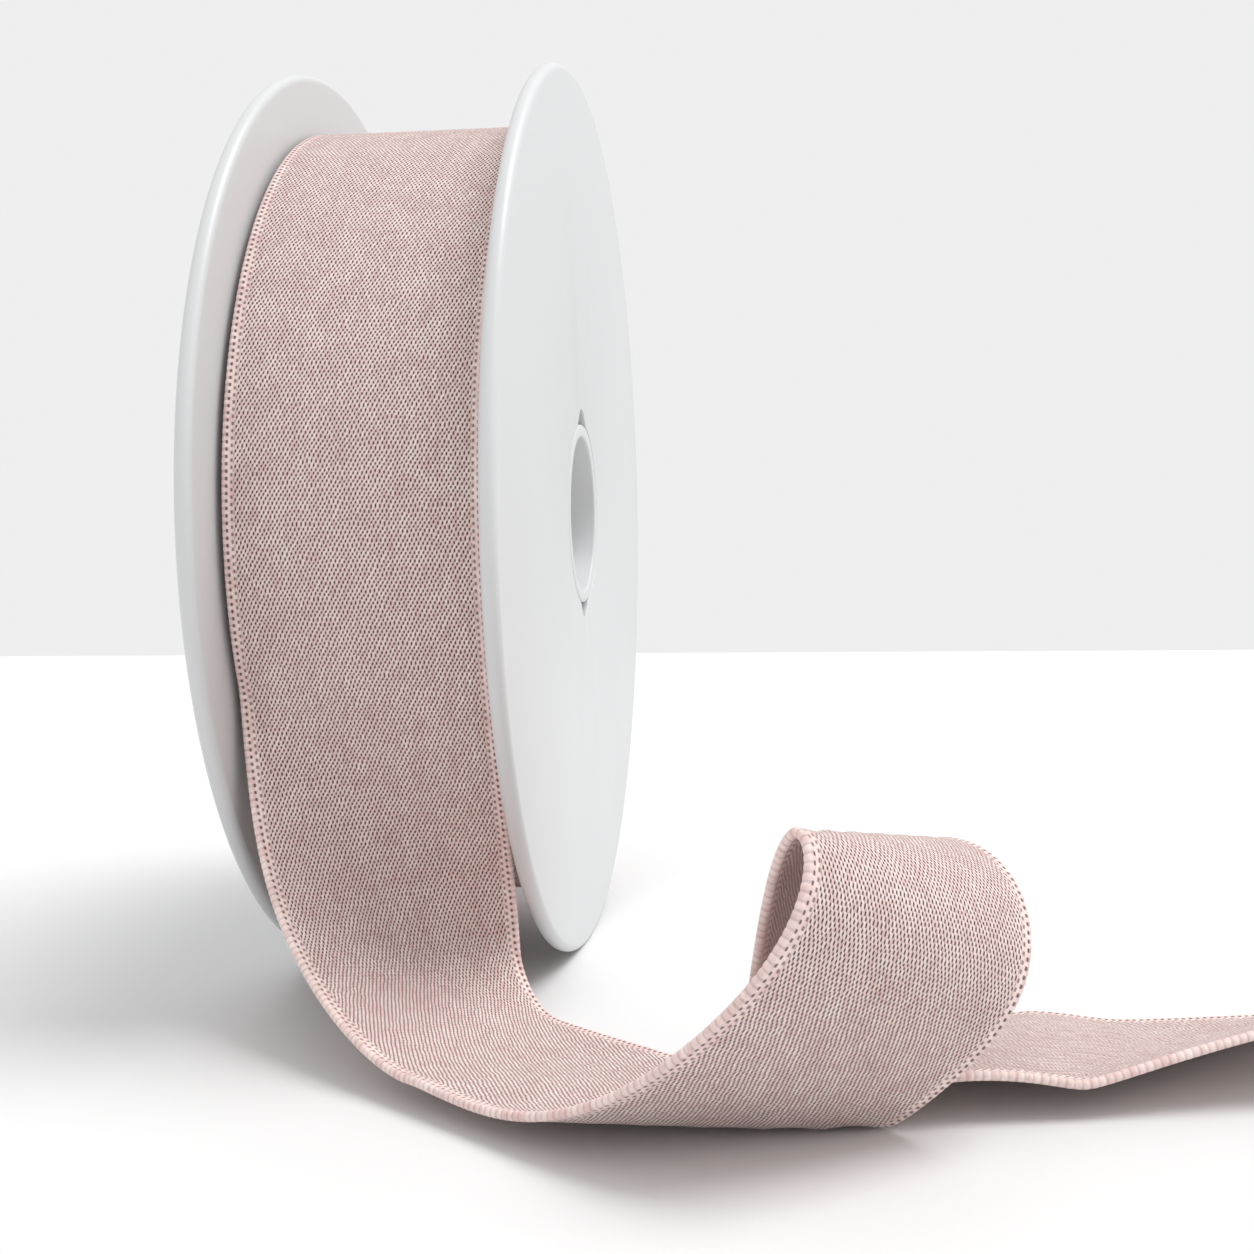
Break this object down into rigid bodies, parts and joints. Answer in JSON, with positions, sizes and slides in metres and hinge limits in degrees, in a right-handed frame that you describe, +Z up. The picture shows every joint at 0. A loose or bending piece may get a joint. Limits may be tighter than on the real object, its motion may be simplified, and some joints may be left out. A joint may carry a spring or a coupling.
{
  "type": "roll of elastic",
  "caption": "Roll of wide woven elastic tape on a flanged plastic spool, with its loose end lying in one loop in front.",
  "frame": {"origin": "bottom centre of the whole object's bounding box, on the surface that the spool's rims and the loose end rest on", "axes": "+X along the spool's axis towards the side that the loose end lies on, +Y towards the back of the spool, +Z up"},
  "size_m": [0.18, 0.21, 0.1577],
  "materials": {
    "spool": "satin",
    "elastic": "matte"
  },
  "bodies": {
    "root": {"flange_left": "spool", "flange_right": "spool", "core": "spool", "roll": "elastic", "loose_end": "elastic"}
  },
  "joints": []
}
